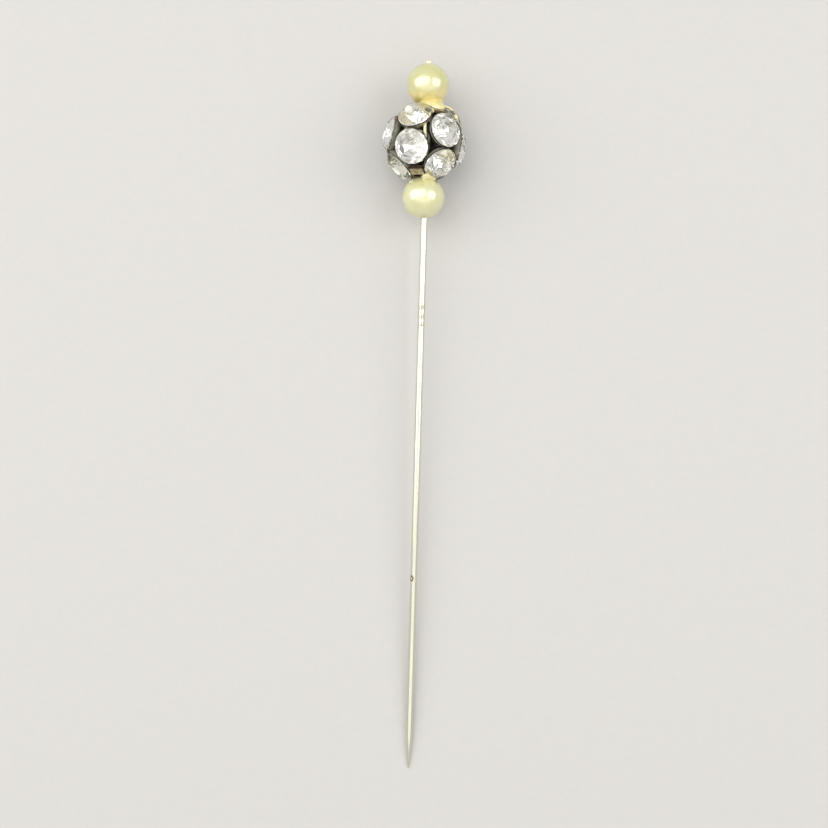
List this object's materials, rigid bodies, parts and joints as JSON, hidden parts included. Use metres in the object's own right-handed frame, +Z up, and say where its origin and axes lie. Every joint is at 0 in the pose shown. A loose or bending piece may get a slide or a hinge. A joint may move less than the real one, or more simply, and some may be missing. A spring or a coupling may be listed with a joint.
{
  "type": "hat pin",
  "caption": "Straight wire hat pin with a sharp point and a glued head: a ball of round rhinestones in metal cups between two faux pearls",
  "frame": {"origin": "on the floor that the pin lies on, under the centre of its bounding box", "axes": "+Y runs along the pin toward its head, +Z is up from the floor, +X is to the right with the head away from the viewer; the pin rests on its ball and its point, so its wire rises 3.57 degrees toward +Y"},
  "size_m": [0.012, 0.1014, 0.0116],
  "materials": {
    "steel_wire": "bright plated wire, lightly worn, one rust nick",
    "faux_pearl": "cream-yellow pearl lacquer, soft satin gloss",
    "cup_metal": "dark oxidised, dull, lighter where rubbed",
    "rhinestone": "clear foiled glass, faceted and polished",
    "solder": "dull grey, oxidised",
    "glue": "yellowed clear glue, glossy"
  },
  "bodies": {
    "root": {"pin_shaft": "steel_wire", "lower_pearl": "faux_pearl", "upper_pearl": "faux_pearl", "cup_top_1": "cup_metal", "cup_top_2": "cup_metal", "cup_top_3": "cup_metal", "cup_upper_1": "cup_metal", "cup_upper_2": "cup_metal", "cup_upper_3": "cup_metal", "cup_lower_1": "cup_metal", "cup_lower_2": "cup_metal", "cup_lower_3": "cup_metal", "cup_bottom_1": "cup_metal", "cup_bottom_2": "cup_metal", "cup_bottom_3": "cup_metal", "stone_top_1": "rhinestone", "stone_top_2": "rhinestone", "stone_top_3": "rhinestone", "stone_upper_1": "rhinestone", "stone_upper_2": "rhinestone", "stone_upper_3": "rhinestone", "stone_lower_1": "rhinestone", "stone_lower_2": "rhinestone", "stone_lower_3": "rhinestone", "stone_bottom_1": "rhinestone", "stone_bottom_2": "rhinestone", "stone_bottom_3": "rhinestone", "top_straps": "cup_metal", "bottom_straps": "cup_metal", "solder_top_upper": "solder", "solder_top_lower": "solder", "solder_upper_bottom": "solder", "solder_lower_bottom": "solder", "upper_glue": "glue", "lower_glue": "glue"}
  },
  "joints": []
}
